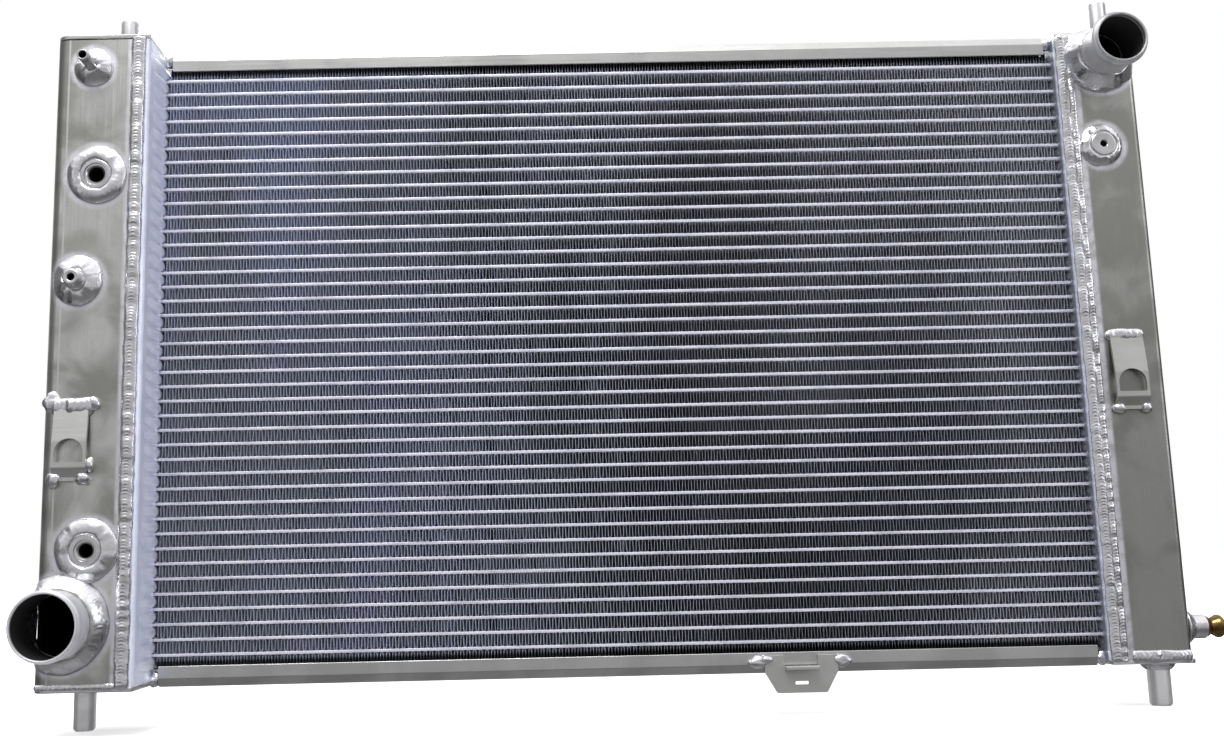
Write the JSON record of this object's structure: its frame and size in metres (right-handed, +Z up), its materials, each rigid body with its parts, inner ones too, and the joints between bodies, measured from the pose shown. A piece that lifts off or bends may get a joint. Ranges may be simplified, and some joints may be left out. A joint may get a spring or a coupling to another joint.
{
  "type": "car radiator",
  "caption": "Welded aluminium cross-flow car radiator: finned tube core between two box tanks, hose necks, oil cooler ports, locating pins and a brass drain cock.",
  "frame": {"origin": "midway between the end faces of the two lower locating pins, which the radiator stands on in its rubber bushes", "axes": "+Z up, +X to the right of someone facing the front, where the hose necks and ports point at them, and +Y away from them, through the core"},
  "size_m": [0.841, 0.13, 0.53],
  "materials": {
    "tank_sheet": "satin rolled sheet, faint grey-olive cast, hand polished",
    "header_plate": "brazed, pale lilac-grey, matt",
    "side_plate": "satin rolled channel",
    "neck_tube": "drawn tube, brushed around",
    "turned_boss": "turned, bright",
    "bracket_sheet": "pressed sheet, satin",
    "pin_bar": "turned bar, satin",
    "weld_bead": "bright rippled weld metal",
    "oil_cooler": "plain, hidden inside the tank",
    "core_tube": "bright brazed tube",
    "core_fin": "thin louvred fin, blue-grey in the depth",
    "drain_brass": "turned brass, slightly tarnished",
    "seal_rubber": "matt black"
  },
  "bodies": {
    "radiator": {"tube_course_01": "core_tube", "tube_course_02": "core_tube", "tube_course_03": "core_tube", "tube_course_04": "core_tube", "tube_course_05": "core_tube", "tube_course_06": "core_tube", "tube_course_07": "core_tube", "tube_course_08": "core_tube", "tube_course_09": "core_tube", "tube_course_10": "core_tube", "tube_course_11": "core_tube", "tube_course_12": "core_tube", "tube_course_13": "core_tube", "tube_course_14": "core_tube", "fin_strip_01": "core_fin", "fin_strip_02": "core_fin", "fin_strip_03": "core_fin", "fin_strip_04": "core_fin", "fin_strip_05": "core_fin", "fin_strip_06": "core_fin", "fin_strip_07": "core_fin", "fin_strip_08": "core_fin", "fin_strip_09": "core_fin", "fin_strip_10": "core_fin", "fin_strip_11": "core_fin", "fin_strip_12": "core_fin", "fin_strip_13": "core_fin", "fin_strip_14": "core_fin", "fin_strip_15": "core_fin", "left_tank": "tank_sheet", "right_tank": "tank_sheet", "left_tank_top_plate": "tank_sheet", "left_tank_bottom_plate": "tank_sheet", "right_tank_top_plate": "tank_sheet", "right_tank_bottom_plate": "tank_sheet", "top_side_plate": "side_plate", "bottom_side_plate": "side_plate", "left_header": "header_plate", "right_header": "header_plate", "inlet_neck": "neck_tube", "outlet_neck": "neck_tube", "vent_nipple": "neck_tube", "left_bleed_boss": "turned_boss", "right_bleed_boss": "turned_boss", "upper_oil_port": "turned_boss", "lower_oil_port": "turned_boss", "drain_boss": "turned_boss", "oil_cooler": "oil_cooler", "left_clip_bracket": "bracket_sheet", "right_clip_bracket": "bracket_sheet", "lower_bracket": "bracket_sheet", "upper_left_pin": "pin_bar", "upper_right_pin": "pin_bar", "lower_left_pin": "pin_bar", "lower_right_pin": "pin_bar"},
    "drain_travel": {"drain_seal": "seal_rubber"},
    "drain_cock": {"drain_cock": "drain_brass"}
  },
  "joints": [
    {"name": "drain_lift", "type": "slide", "parent": "radiator", "child": "drain_travel", "axis": [1, 0, 0], "range_m": [0, 0.003]},
    {"name": "drain_turn", "type": "hinge", "parent": "drain_travel", "child": "drain_cock", "pos_m": [0.4202, -0.001, 0.0545], "axis": [1, 0, 0], "range_deg": [0, 720]}
  ],
  "couplings": [
    {"joint": "drain_lift", "follows": "drain_turn", "m_per_rad": 0.0002387}
  ]
}
